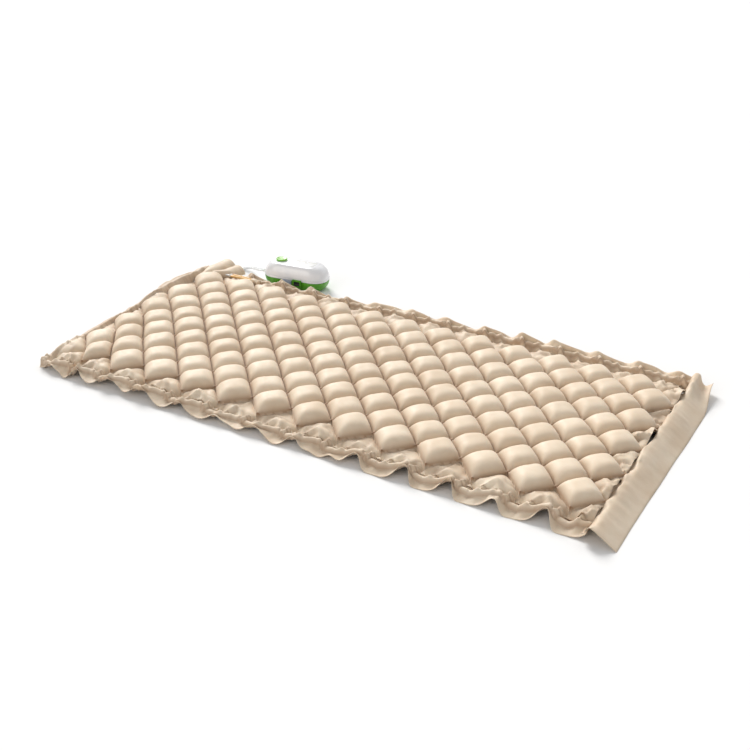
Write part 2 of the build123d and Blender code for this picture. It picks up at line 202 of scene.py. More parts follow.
def hoseFinish():
    hose = Finish("milky clear hose")
    cloud = hose.noise(0.03, 2)
    hose.feed(colour=hose.blend(cloud, tone(248, 249, 250), tone(236, 239, 240)),
              rough=hose.ramp(cloud, 0.3, 0.7, 0.2, 0.3), gloss=0.55, glow=0.3, glowScale=0.003,
              glowRadius=(1.0, 1.0, 1.0))
    hose.bump(hose.noise(0.0012, 2), 0.2, 0.00005)
    return hose.material


finishes = {
    "cell_film": filmFinish(),
    "amber_latex": latexFinish(),
    "clear_white_hose": hoseFinish(),
    "port_plastic": plasticFinish("port plastic", tone(236, 236, 232), tone(222, 222, 216), 0.35),
    "white_shell": plasticFinish("glossy white shell", tone(248, 248, 250), tone(241, 242, 246), 0.2, 0.4),
    "green_shell": plasticFinish("green shell", tone(96, 172, 42), tone(82, 156, 36), 0.33, 0.1),
    "panel_grey": plasticFinish("panel grey", tone(224, 225, 228), tone(214, 215, 219), 0.4),
    "front_grey": plasticFinish("front grey", tone(178, 190, 206), tone(160, 172, 190), 0.4),
    "dial_green": plasticFinish("dial green", tone(140, 204, 78), tone(124, 190, 66), 0.3, 0.2),
    "inner_plastic": plasticFinish("inner plastic", tone(206, 206, 200), tone(190, 190, 184), 0.5),
    "black_plastic": plasticFinish("black plastic", tone(22, 24, 22), tone(34, 36, 34), 0.3),
    "black_rubber": plasticFinish("black rubber", tone(28, 28, 28), tone(38, 38, 38), 0.65),
    "core_steel": plasticFinish("core steel", tone(150, 146, 140), tone(120, 116, 110), 0.4),
    "arm_metal": plasticFinish("arm metal", tone(196, 196, 200), tone(180, 180, 186), 0.35),
}
finishes["sheet_film"] = finishes["cell_film"]
print("materials made:", len(finishes))


def meshFrom(bm, name):
    mesh = bpy.data.meshes.new(name)
    bm.to_mesh(mesh)
    bm.free()
    return mesh


def keep(name, mesh, slot, body, nodes=()):
    # a finished mesh becomes an object that rides on its body and stands for its CAD nodes
    piece = bpy.data.objects.new(name, mesh)
    link(piece)
    mesh.materials.append(finishes[slot])
    mesh.polygons.foreach_set("use_smooth", [True] * len(mesh.polygons))
    if body:
        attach(piece, body)
    if nodes:
        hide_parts(*nodes)
    return piece


def keepForm(name, bm, slot, body, nodes=()):
    return keep(name, meshFrom(bm, name), slot, body, nodes)


# Air hoses: two free hoses from the pump's nozzles round behind the folded corner to the joiner.
hoses = {
    "air_hose_inner": {"length": 0.3612, "route": [
        (-.7216, .5364, .0380), (-.7394, .5339, .0380), (-.7560, .5370, .0365), (-.7725, .5480, .0320),
        (-.7875, .5645, .0255), (-.8030, .5800, .0175), (-.8220, .5880, .0100), (-.8420, .5870, .0055),
        (-.8585, .5770, .0035), (-.8690, .5600, .0035), (-.8720, .5400, .0050), (-.8690, .5180, .0115),
        (-.8635, .4955, .0210), (-.8560, .4745, .0305), (-.8460, .4565, .0370), (-.8335, .4430, .0400),
        (-.8195, .4345, .0400), (-.8045, .4310, .0395), (-.7890, .4310, .0395)]},
    "air_hose_outer": {"length": 0.3874, "route": [
        (-.7238, .5523, .0380), (-.7416, .5498, .0380), (-.7585, .5530, .0360), (-.7740, .5645, .0310),
        (-.7885, .5805, .0240), (-.8045, .5935, .0160), (-.8235, .6005, .0095), (-.8450, .5970, .0055),
        (-.8650, .5845, .0035), (-.8780, .5635, .0035), (-.8815, .5400, .0050), (-.8785, .5160, .0115),
        (-.8725, .4930, .0210), (-.8645, .4705, .0305), (-.8535, .4510, .0370), (-.8395, .4355, .0400),
        (-.8230, .4255, .0400), (-.8060, .4210, .0395), (-.7890, .4210, .0395)]},
}
hoseDiameter = 0.006
for hoseName, hose in hoses.items():
    curve = bpy.data.curves.new(hoseName + "_line", "CURVE")
    curve.dimensions = "3D"
    spline = curve.splines.new("NURBS")
    spline.points.add(len(hose["route"]) - 1)
    for point, spot in zip(spline.points, hose["route"]):
        point.co = (*spot, 1)
    spline.order_u = 3
    spline.use_endpoint_u = True
    spline.resolution_u = 8
    curve.bevel_depth = hoseDiameter / 2
    curve.bevel_resolution = 6
    curve.use_fill_caps = True
    curve.materials.append(finishes["clear_white_hose"])
    line = bpy.data.objects.new(hoseName + "_tube", curve)
    link(line)
    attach(line, "mattress")
    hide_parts(hoseName)
print("hoses laid")


# Film: every height on the pad comes from its place on the lattice of bubbles.
# The lattice starts firstX pitches and firstY rows before the middle of the field.
pad = {"pitch": 0.13, "row": 0.076, "rows": 10, "columns": 13, "firstX": 5.75, "firstY": 4.5,
       "weld": 0.028, "rise": 0.0355, "belly": 0.0268, "halfLength": 0.8775, "halfField": 0.436,
       "steps": 20, "cells": 40}
filmSize = {"thick": 0.0011, "fieldThick": 0.0012, "lowest": 0.0006, "thinnest": 0.0009}


def softNoise(x, y, size, seed):
    table = np.random.RandomState(seed).rand(64, 64) * 2 - 1
    px, py = x / size, y / size
    ix, iy = np.floor(px).astype(int), np.floor(py).astype(int)
    fx, fy = px - ix, py - iy
    fx, fy = fx * fx * (3 - 2 * fx), fy * fy * (3 - 2 * fy)
    near = table[ix % 64, iy % 64] * (1 - fx) + table[(ix + 1) % 64, iy % 64] * fx
    far = table[ix % 64, (iy + 1) % 64] * (1 - fx) + table[(ix + 1) % 64, (iy + 1) % 64] * fx
    return near * (1 - fy) + far * fy


def lineNoise(x, size, seed):
    return softNoise(x, x * 0, size, seed)


def creases(x, y, size, seed):
    # thin soft ridges, 0 to 1
    return np.clip(1 - np.abs(softNoise(x, y, size, seed)) / 0.3, 0, 1)


def ease(t):
    t = np.clip(t, 0, 1)
    return t * t * (3 - 2 * t)


def swell(t):
    # the round of a blown bubble: 1 in the middle, 0 at its welds
    return np.clip(1 - np.abs(t) ** 3.3, 0, 1) ** 0.54


def latticePlace(x, y):
    # place along both diagonals of the lattice, and the numbers of the nearest bubble
    u, v = x / pad["pitch"] + pad["firstX"], y / pad["row"] + pad["firstY"]
    a, b = 2 * u + v, 2 * u - v
    return a, b, np.round(a / 2).astype(int), np.round(b / 2).astype(int)


def pitchWave(x, shift):
    # 1 at each front corner of the front row, -1 half way between
    return np.cos(2 * np.pi * (x / pad["pitch"] + pad["firstX"] - shift / pad["pitch"]))


def near(x, y, start, end):
    # distance of a point from a short straight line
    dx, dy = end[0] - start[0], end[1] - start[1]
    t = np.clip(((x - start[0]) * dx + (y - start[1]) * dy) / (dx * dx + dy * dy), 0, 1)
    return np.hypot(x - start[0] - t * dx, y - start[1] - t * dy)


# Two raised folds run from each hem peak up into the valley between two bubbles.
tent = {"first": ((0.030, 0.452), (0.060, 0.404)), "second": ((0.092, 0.448), (0.072, 0.412)),
        "height": 0.009, "width": 0.0065}


def tentFold(x, depth, front):
    phase = (x / pad["pitch"] + pad["firstX"] + np.where(front, 0, 0.5)) % 1.0 * pad["pitch"]
    away = np.minimum(near(phase, depth, *tent["first"]), near(phase, depth, *tent["second"]))
    return tent["height"] * np.exp(-(away / tent["width"]) ** 2)


# Bubbles swell and pucker towards their corners; valleys are the loose film round the field.
blown = {"lean": 0.07, "varied": 0.05, "edge": 0.16, "pucker": 0.0030, "cornerPucker": 0.009,
         "cornerDip": 0.0045, "slack": 0.0016, "neckRise": 0.009, "neckHalf": 0.0055, "neckLength": 0.016}
valleys = {"drop": 0.007, "rise": 0.014, "fold": 0.007, "dip": 0.004, "wrinkle": 0.0012,
           "endFold": 0.010, "edgeDrop": 0.011}


def fieldFilm(x, y):
    # top and underside of the bubble field, and the painted shade in its creases
    a, b, m, n = latticePlace(x, y)
    da, db = a - 2 * m, b - 2 * n
    row, along = m - n, (m + n) / 2
    bubble = (row >= 0) & (row < pad["rows"]) & (along >= -0.5) & (along <= pad["columns"] - 1)
    varied = np.random.RandomState(7).rand(3, 64, 64) * 2 - 1
    lift, leanA, leanB = (varied[i][m % 64, n % 64] for i in range(3))
    dome = (swell(da + blown["lean"] * leanA * (1 - da * da))
            * swell(db + blown["lean"] * leanB * (1 - db * db)))
    edgeA, edgeB = (np.exp(-(1 - np.abs(away)) / blown["edge"]) for away in (da, db))
    pucker = (edgeA * softNoise(b * 0.05 + 3, a * 0.015, 0.0065, 11)
              + edgeB * softNoise(a * 0.05 + 7, b * 0.015, 0.0065, 12))
    corner = edgeA * edgeB
    weld = pad["weld"] + 0.0015 * softNoise(x, y, 0.05, 3)
    flank = np.sqrt(dome)
    top = weld + pad["rise"] * (1 + blown["varied"] * lift) * dome
    top += (blown["pucker"] * pucker + blown["cornerPucker"] * corner * softNoise(x, y, 0.007, 13)) * flank
    top -= blown["cornerDip"] * corner * creases(x, y, 0.012, 14) * flank
    top += blown["slack"] * softNoise(x, y, 0.035, 5) * dome
    under = weld - pad["belly"] * dome

    # raised necks join each bubble to the next one in its chain
    oddA, oddB = 2 * np.round((a - 1) / 2) + 1, 2 * np.round((b - 1) / 2) + 1
    crossX = pad["pitch"] * ((a - oddA) + (b - oddB)) / 4
    crossY = pad["row"] * ((a - oddA) - (b - oddB)) / 2
    neck = (blown["neckRise"] * np.exp(-(crossX / blown["neckHalf"]) ** 2)
            * np.exp(-(crossY / blown["neckLength"]) ** 4))

    # the film outside the bubbles, rougher towards the flap
    rough = 0.75 + 0.9 * ease((x - 0.79) / 0.04)
    dips = creases(x, y, 0.038, 23)
    valley = weld - valleys["drop"] + valleys["rise"] * dome * (1 + 0.6 * lift)
    valley += rough * (valleys["fold"] * creases(x, y, 0.046, 21) - valleys["dip"] * dips) * flank
    valley += valleys["wrinkle"] * rough * softNoise(x, y, 0.016, 22)
    valley += valleys["endFold"] * creases(x * 0.4, y, 0.030, 27) * ease((x - 0.805) / 0.03) * flank
    valley -= valleys["edgeDrop"] * ease((np.abs(y) - 0.405) / 0.03)
    tented = ease((np.abs(y) - 0.385) / 0.02) * np.where((y > 0) & (x < -0.65), 0, 1)
    valley += tentFold(x, np.abs(y), y < 0) * tented
    top = np.where(bubble, np.maximum(top, weld + neck), valley)
    under = np.where(bubble, under, valley - filmSize["fieldThick"])
    # painted shade: darker towards the welds and at the corners between bubbles, and in the dips of the
    # loose film
    creaseShade = np.where(bubble, 0.85 * np.maximum(edgeA, edgeB) ** 2 + 0.9 * corner,
                       0.15 + 0.40 * dips)
    return top, np.maximum(under, filmSize["lowest"]), creaseShade


def pullIn(x, y):
    # the left end is drawn in towards the front
    amount = np.clip(0.003 - 0.1 * y, -0.008, 0.05)
    return x + amount * ease((-0.66 - x) / 0.2)


def vertexPlaces(mesh):
    places = np.empty(len(mesh.vertices) * 3)
    mesh.vertices.foreach_get("co", places)
    return places.reshape(-1, 3)


def crop(bm, box):
    for place, normal in (((box[0], 0, 0), (-1, 0, 0)), ((box[1], 0, 0), (1, 0, 0)),
                          ((0, box[2], 0), (0, -1, 0)), ((0, box[3], 0), (0, 1, 0))):
        bmesh.ops.bisect_plane(bm, geom=bm.verts[:] + bm.edges[:] + bm.faces[:], dist=1e-7, plane_co=place,
                               plane_no=normal, clear_outer=True)


def closeFilm(bm):
    # the flat cut is doubled, the copy set at z -1, and the two rims joined into one closed skin
    rim = [e for e in bm.edges if e.is_boundary]
    copied = bmesh.ops.duplicate(bm, geom=bm.verts[:] + bm.edges[:] + bm.faces[:])
    lower = [g for g in copied["geom"] if isinstance(g, bmesh.types.BMFace)]
    bmesh.ops.reverse_faces(bm, faces=lower)
    for face in lower:
        for vertex in face.verts:
            vertex.co.z = -1.0
    lowerRim = [copied["edge_map"][e] for e in rim]
    bmesh.ops.bridge_loops(bm, edges=rim + lowerRim)
    return bm


def shapeFilm(bm, name, shape, slot, body, nodes):
    # moves every point of a closed film onto its heights and stores its painted crease shade there
    mesh = meshFrom(bm, name)
    places = vertexPlaces(mesh)
    low = places[:, 2] < -0.5
    x, y, top, under, creaseShade = shape(places[:, 0], places[:, 1])
    places = np.stack([x, y, np.where(low, under, top)], 1)
    mesh.vertices.foreach_set("co", places.ravel())
    # the painted crease shade is kept as a point attribute named crease
    attribute = mesh.attributes.new("crease", "FLOAT", "POINT")
    attribute.data.foreach_set("value", creaseShade.astype(np.float32))
    mesh.update()
    return keep(name, mesh, slot, body, nodes)


def bubbleField():
    # a grid along the two diagonals, with its lines drawn together near the welds
    segments = pad["cells"] // 2 * pad["steps"]
    bm = bmesh.new()
    bmesh.ops.create_grid(bm, x_segments=segments, y_segments=segments, size=pad["cells"] / 2)
    for vertex in bm.verts:
        a, b = vertex.co.x + 16, vertex.co.y + 7
        cellA, cellB = round(a / 2) * 2, round(b / 2) * 2
        a = cellA + math.sin((a - cellA) * math.pi / 2)
        b = cellB + math.sin((b - cellB) * math.pi / 2)
        vertex.co = (((a + b) / 4 - pad["firstX"]) * pad["pitch"],
                     ((a - b) / 2 - pad["firstY"]) * pad["row"], 0)
    crop(bm, (-pad["halfLength"], pad["halfLength"], -pad["halfField"], pad["halfField"]))
    closeFilm(bm)

    def shape(x, y):
        top, under, creaseShade = fieldFilm(x, y)
        return pullIn(x, y), y, top, under, creaseShade
    lines = [f"cell_line_{side}_{number:02d}" for side in "ab" for number in range(1, 14)]
    piece = shapeFilm(bm, "bubble_field", shape, "cell_film", "mattress", lines + ["base_sheet"])


bubbleField()
print("bubble field blown up")


def stripGrid(x0, x1, y0, y1, step):
    bm = bmesh.new()
    across, deep = round((x1 - x0) / step), max(8, round((y1 - y0) / step))
    bmesh.ops.create_grid(bm, x_segments=across, y_segments=deep, size=0.5)
    bmesh.ops.scale(bm, verts=bm.verts, vec=(x1 - x0, y1 - y0, 1))
    bmesh.ops.translate(bm, verts=bm.verts, vec=((x0 + x1) / 2, (y0 + y1) / 2, 0))
    return closeFilm(bm)


# Hems: wave heights run over one pitch, from 0 on the floor to 1 at the peaks.
hem = {"inner": 0.433, "wide": 0.05, "step": 0.0032, "tube": 0.0085, "tubeRise": 0.0165,
       "tubeStart": 0.10, "tubeEnd": 0.52, "tubeIn": 0.0095, "tubeSway": 0.013, "tubeClear": 0.004,
       "low": 0.0012, "tuck": 0.0003, "gutter": 0.002, "ripple": 0.0022, "crease": 0.0045,
       "sharp": [(0, 0.25), (0.012, 0.75), (0.022, 1.0), (0.034, 0.80), (0.055, 0.42), (0.080, 0.18),
                 (0.098, 0.02), (0.112, 0.0)],
       "scoop": [(0, 0.0), (0.035, 0.05), (0.058, 0.22), (0.076, 0.80), (0.086, 1.0), (0.096, 0.78),
                 (0.107, 0.3), (0.120, 0.0)],
       "ruffle": [(0, 0.10), (0.018, 0.70), (0.028, 1.0), (0.040, 0.72), (0.070, 0.48), (0.100, 0.25),
                  (0.118, 0.0)]}
hemSides = {-1: {"reach": 0.491, "lift": 0.036, "pull": 0.034, "sag": 0.018, "phase": 0},
            1: {"reach": 0.480, "lift": 0.030, "pull": 0.012, "sag": 0.083, "phase": 0.5}}
elbow = {"from": (-0.008, 0.422), "to": (-0.025, 0.449), "radius": 0.0095, "rise": 0.021}


def hemWave(x, shift, kind):
    spots, heights = zip(*hem[kind])
    waves = [np.interp((x + step - shift) / pad["pitch"] % 1.0 * pad["pitch"], spots, heights,
                       period=pad["pitch"]) for step in (-0.009, -0.004, 0, 0.004, 0.009)]
    return sum(waves) / len(waves)


def hemRaised(x, spot, front):
    # sharp peaks turn to scooped ones along the front; the back has one even ruffle
    scooped = ease((x - 0.02) / 0.3) if front else x * 0
    if front:
        raised = hemWave(spot, 0, "sharp") * (1 - scooped) + hemWave(spot, 0, "scoop") * scooped
    else:
        raised = hemWave(spot, -0.006, "ruffle") * (1.35 - 0.35 * ease((x + 0.42) / 0.3))
    slack = 0.30 * (1 - scooped) * ease(0.5 + lineNoise(x, 0.17, 40))
    return (raised + slack * np.maximum(1 - raised, 0)) * (0.3 + 0.7 * ease((x + 0.90) / 0.05))


def hemAcross(t, tubeY, edge):
    # place across the hem: out to the air channel, over it, and on to the hem's edge
    inner, tube, start, end = hem["inner"], hem["tube"], hem["tubeStart"], hem["tubeEnd"]
    roll = np.pi * np.clip((t - start) / (end - start), 0, 1)
    flat = np.where(t < start, inner + (tubeY - tube - inner) * t / start,
                    tubeY + tube + (edge - tubeY - tube) * (t - end) / (1 - end))
    return np.where((t > start) & (t < end), tubeY - tube * np.cos(roll), flat), roll


def elbowAway(x, y, phase):
    # distance from the feed elbow at each bubble's foot, in elbow radii
    corner = (x / pad["pitch"] + pad["firstX"] + phase) % 1.0
    corner = (corner - np.round(corner)) * pad["pitch"]
    return near(corner, np.abs(y), elbow["from"], elbow["to"]) / elbow["radius"]


def hemFilm(side):
    # side -1 is the front, 1 the back; depth runs from the field's edge to the hem's edge
    front, own = side < 0, hemSides[side]

    def shape(x, depth):
        t = (np.abs(depth) - hem["inner"]) / hem["wide"]
        wander = lineNoise(x, 0.11, 31 + side)
        raised = hemRaised(x, x + pad["firstX"] * pad["pitch"] + 0.012 * wander, front)
        lobe = np.clip(1 + 0.45 * lineNoise(x, 0.13, 35), 0.6, 1.25)
        edge = own["reach"] - own["pull"] * raised * lobe + 0.004 * lineNoise(x, 0.05, 33 + side)
        sag = 0.5 + 0.5 * pitchWave(x + 0.006 * wander, own["sag"])
        tubeY = hem["inner"] + hem["tubeIn"] + hem["tubeSway"] * sag
        edge = np.maximum(edge - 0.03 * ease((-0.85 - x) / 0.05), tubeY + hem["tube"] + hem["tubeClear"])
        across, roll = hemAcross(t, tubeY, edge)
        y = side * np.minimum(across, own["reach"] + 0.002)

        # heights: from the field's edge through a gutter to the standing outer edge
        fieldTop, _, fieldCreaseShade = fieldFilm(x, side * np.minimum(np.abs(y), hem["inner"]))
        standing = 0 if front else 0.010 + 0.021 * ease((x + 0.42) / 0.3)
        outer = hem["low"] + own["lift"] * raised * lobe + standing
        start = fieldTop - hem["tuck"]
        gutter = 0.5 * start + 0.5 * outer - hem["gutter"]
        base = start + (gutter - start) * ease(t / 0.14) + (outer - gutter) * ease((t - 0.45) / 0.5)
        loose = np.sin(np.pi * np.clip(t, 0, 1)) * ease((t - 0.50) / 0.1)
        base += loose * (hem["ripple"] * softNoise(x, y, 0.02, 36)
                         + hem["crease"] * creases(x, y * 0.4, 0.03, 39) * raised)
        tented = tentFold(x, np.abs(y), front) - tentFold(x, hem["inner"], front)
        base += tented * (1 - t) * (1 if front else ease((x + 0.64) / 0.02))

        # the air channel and its elbows stand on that film
        tube = hem["tubeRise"] * np.sin(roll) * (1 + 0.10 * lineNoise(x, 0.022, 37)) * (1 - 0.5 * raised)
        away = elbowAway(x, y, own["phase"])
        bend = elbow["rise"] * np.clip(1 - away * away, 0, 1) ** 0.7
        top = base + np.maximum(tube, bend)
        under = np.maximum(base - filmSize["thick"] - 0.45 * tube, filmSize["lowest"])

        # painted shade: dark lines along both sides of the air channel and round each elbow; next to the
        # field the field's own painted shade carries on
        off = np.abs(np.abs(y) - tubeY) / hem["tube"]
        creaseShade = 0.15 + 0.85 * np.exp(-((off - 1) / 0.30) ** 2) + 0.20 * creases(x, y, 0.03, 38)
        creaseShade = np.maximum(creaseShade, 1.1 * np.exp(-((away - 1) / 0.30) ** 2))
        creaseShade = np.where(t < 0.06, fieldCreaseShade, creaseShade * 0.75)
        return pullIn(x, y), y, np.maximum(top, under + filmSize["thinnest"]), under, creaseShade
    return shape


def hemPiece(name, side, x0, x1, nodes):
    y0, y1 = sorted((side * hem["inner"], side * (hem["inner"] + hem["wide"])))
    bm = stripGrid(x0, x1, y0, y1, hem["step"])
    return shapeFilm(bm, name, hemFilm(side), "sheet_film", "mattress", nodes)


frontEdge = hemPiece("front_edge_film", -1, -0.905, pad["halfLength"], ["front_air_channel", "front_hem"])
backEdge = hemPiece("back_edge_film", 1, -0.776, pad["halfLength"], ["back_air_channel", "back_hem"])
print("hems laid")


# Left end: a narrow strip with the side air channel along it.
leftEnd = {"front": -0.4535, "back": 0.452, "inner": -0.8755, "outer": -0.905, "step": 0.0035,
           "tubeX": -0.889, "tube": 0.008, "tubeRise": 0.010}


def leftStrip():
    bm = stripGrid(leftEnd["outer"], leftEnd["inner"], leftEnd["front"], leftEnd["back"], leftEnd["step"])

    def shape(x, y):
        t = (leftEnd["inner"] - x) / (leftEnd["inner"] - leftEnd["outer"])
        fieldTop = fieldFilm(np.maximum(x, -pad["halfLength"]), y)[0]
        outer = 0.016 + 0.030 * ease((y + 0.32) / 0.62) + 0.007 * lineNoise(y, 0.08, 41)
        outer += 0.002 * lineNoise(y, 0.025, 46)
        base = fieldTop + (outer - fieldTop) * ease(t)
        wide = x - 0.010 * ease(t) * lineNoise(y, 0.07, 42)
        off = (x - leftEnd["tubeX"]) / leftEnd["tube"]
        arch = np.sqrt(np.clip(1 - off * off, 0, 1))
        tube = leftEnd["tubeRise"] * arch * (1 + 0.2 * lineNoise(y, 0.03, 43))
        top = base + tube + 0.001 * softNoise(x, y, 0.02, 44) * np.sin(np.pi * np.clip(t, 0, 1))
        under = np.maximum(base - filmSize["thick"] - 0.4 * tube, filmSize["lowest"])
        top = np.maximum(top, under + filmSize["thinnest"])
        # painted shade over the whole strip, darker in its creases
        return pullIn(wide, y), y, top, under, 0.35 + 0.3 * creases(x, y, 0.02, 45)
    piece = shapeFilm(bm, "left_edge_film", shape, "sheet_film", "mattress",
                      ["left_end_strip", "side_air_channel"])


leftStrip()


def smoothSection(spots, t, count, passes):
    # a cross-section rounded off between its spots, read at t
    section = np.array(spots)
    stations, fine = np.linspace(0, 1, len(section)), np.linspace(0, 1, count)
    lines = [np.interp(fine, stations, section[:, i]) for i in (0, 1)]
    for _ in range(passes):
        lines = [np.concatenate([l[:1], (l[:-2] + 2 * l[1:-1] + l[2:]) / 4, l[-1:]]) for l in lines]
    return [np.interp(t, fine, line) for line in lines]


# End flap: a loose strip of film rolled over at its root, raised and curled at the back corner.
flap = {"front": -0.494, "back": 0.500, "width": 0.12, "step": 0.0045, "lowest": 0.0012,
        "rootX": 0.8755, "tuck": 0.001, "lift": 0.007, "liftY": 0.418, "liftHalf": 0.020,
        "plain": [(0.870, 0.000), (0.877, 0.029), (0.887, 0.037), (0.899, 0.036), (0.915, 0.027),
                  (0.937, 0.013), (0.9575, 0.0012)],
        "slit": [(0.8765, 0.010), (0.8740, 0.024), (0.8785, 0.037), (0.892, 0.040), (0.912, 0.030),
                 (0.936, 0.014), (0.9575, 0.0012)],
        "curled": [(0.872, 0.012), (0.872, 0.042), (0.882, 0.056), (0.894, 0.054), (0.901, 0.030),
                   (0.914, 0.016), (0.936, 0.032)]}


def endFlap():
    bm = stripGrid(0.0, flap["width"], flap["front"], flap["back"], flap["step"])

    def shape(across, y):
        t = across / flap["width"]
        curl, slit = ease((y - 0.31) / 0.19), ease((y + 0.12) / 0.10) * ease((0.36 - y) / 0.05)
        x, z = 0, 0
        for kind, share in (("plain", (1 - curl) * (1 - slit)), ("slit", (1 - curl) * slit),
                            ("curled", curl)):
            partX, partZ = smoothSection(flap[kind], t, 61, 12)
            x, z = x + partX * share, z + partZ * share
        fieldTop = fieldFilm(np.full_like(y, flap["rootX"]), np.clip(y, -hem["inner"], hem["inner"]))[0]
        root = np.exp(-(t / 0.10) ** 2) * (1 - curl) * (1 - slit)
        z = z * (1 - root) + (fieldTop - flap["tuck"]) * root

        # slack along the flap, and a lift where each bubble of the last column pushes it up
        bulge = np.sin(np.pi * np.clip(t, 0, 1))
        ridge = np.exp(-((t - 0.27) / 0.13) ** 2)
        z = z + 0.004 * softNoise(y, t * 0.03, 0.07, 51) * bulge
        z = z + 0.0012 * softNoise(y, t * 0.05, 0.02, 52) * bulge
        z = z + (0.006 * lineNoise(y, 0.05, 53) + 0.0025 * softNoise(y, t * 0.02, 0.013, 55)) * ridge
        x = x + 0.005 * lineNoise(y, 0.06, 56) * ridge + 0.0015 * lineNoise(y, 0.12, 57) * ease(t)
        gap = (y + flap["liftY"]) % (2 * pad["row"]) - pad["row"]
        lifted = np.exp(-(gap / flap["liftHalf"]) ** 2) * np.exp(-((t - 0.2) / 0.16) ** 2)
        z = z + flap["lift"] * lifted * (1 - curl)
        z = np.maximum(z, flap["lowest"])
        # painted shade: the whole flap darker, most at its root, and in its creases
        creaseShade = 0.16 + 0.35 * np.exp(-t / 0.12) + 0.12 * creases(y, t * 0.1, 0.06, 54)
        return x, y, z, np.maximum(z - filmSize["thick"], 0.0002), creaseShade
    piece = shapeFilm(bm, "end_flap_film", shape, "sheet_film", None, ["right_end_flap"])
    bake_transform(piece)


endFlap()
print("end flap laid")


# Folded corner: the film's back left corner turned over twice into two soft rolls.
fold = {"front": 0.375, "back": 0.534, "width": 0.27, "step": 0.003, "pivotX": -0.885,
        "lowerIn": 0.02, "lowerShorter": 0.32, "middle": 0.42, "crease": 0.47,
        "section": [(-0.900, 0.010), (-0.905, 0.026), (-0.905, 0.042), (-0.897, 0.056), (-0.882, 0.064),
                    (-0.865, 0.064), (-0.851, 0.056), (-0.843, 0.044), (-0.839, 0.036), (-0.833, 0.043),
                    (-0.820, 0.051), (-0.803, 0.053), (-0.786, 0.047), (-0.776, 0.036), (-0.774, 0.026),
                    (-0.783, 0.022), (-0.800, 0.027), (-0.820, 0.030)]}


def foldedCorner():
    length = fold["back"] - fold["front"]
    bm = stripGrid(0.0, fold["width"], 0.0, length, fold["step"])

    def shape(across, along):
        t, s = across / fold["width"], along / length
        x, z = smoothSection(fold["section"], t, 121, 16)
        # past the middle lies the lower roll, which is shorter; both rolls fill out from the front
        lower = ease((t - fold["middle"]) / 0.12)
        y = fold["front"] + fold["lowerIn"] * lower + along * (1 - fold["lowerShorter"] * lower)
        y = y + 0.004 * lineNoise(across, 0.05, 61) * s
        grown = ease(s / 0.45)
        z = z * ((0.66 + 0.16 * grown) * (1 - lower) + 1.04 * lower)
        z = z - 0.003 * s * ease((t - 0.4) / 0.2) + 0.002 * softNoise(across, along, 0.035, 62)
        x = fold["pivotX"] + (x - fold["pivotX"]) * (0.55 + 0.45 * grown)
        x = x + 0.0015 * softNoise(across, along, 0.03, 63)
        # painted shade along the crease between the two rolls and in small creases
        creaseShade = 0.10 + 0.5 * np.exp(-((t - fold["crease"]) / 0.03) ** 2)
        creaseShade = creaseShade + 0.2 * creases(across, along, 0.04, 64)
        return x, y, z, z - filmSize["thick"], creaseShade
    piece = shapeFilm(bm, "corner_fold_film", shape, "sheet_film", "folded_corner", ["corner_fold"])


foldedCorner()
print("corner folded")


def growRim(bm, rim):
    # extrudes a rim and returns its new points and edges
    grown = bmesh.ops.extrude_edge_only(bm, edges=rim)["geom"]
    return ([g for g in grown if isinstance(g, bmesh.types.BMVert)],
            [g for g in grown if isinstance(g, bmesh.types.BMEdge)])


# Two amber latex tubes from the welded port to the joiner, bowed a little apart.
latex = {"middle": 0.426, "apart": 0.005, "height": 0.0395, "radius": 0.004, "wall": 0.0013,
         "segments": 24, "steps": 24, "bowOut": 0.0012, "bowUp": 0.0015, "sway": 0.001}
for tubeName, side in (("inlet_tube_front", -1), ("inlet_tube_back", 1)):
    bm = bmesh.new()
    low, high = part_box(tubeName)
    bmesh.ops.create_circle(bm, cap_ends=False, segments=latex["segments"], radius=latex["radius"])
    bmesh.ops.rotate(bm, verts=bm.verts, cent=(0, 0, 0), matrix=Matrix.Rotation(math.radians(90), 3, "Y"))
    bmesh.ops.translate(bm, verts=bm.verts,
                        vec=(low.x, latex["middle"] + side * latex["apart"], latex["height"]))
    rim = bm.edges[:]
    for step in range(latex["steps"]):
        moved, rim = growRim(bm, rim)
        bmesh.ops.translate(bm, verts=moved, vec=((high.x - low.x) / latex["steps"], 0, 0))
    for vertex in bm.verts:
        t = (vertex.co.x - low.x) / (high.x - low.x)
        bow = math.sin(math.pi * t)
        vertex.co.y += side * latex["bowOut"] * bow + latex["sway"] * math.sin(5 * t + side)
        vertex.co.z += latex["bowUp"] * bow
    bmesh.ops.solidify(bm, geom=bm.faces[:], thickness=latex["wall"])
    bmesh.ops.recalc_face_normals(bm, faces=bm.faces)
    keepForm(tubeName + "_latex", bm, "amber_latex", "mattress", [tubeName])


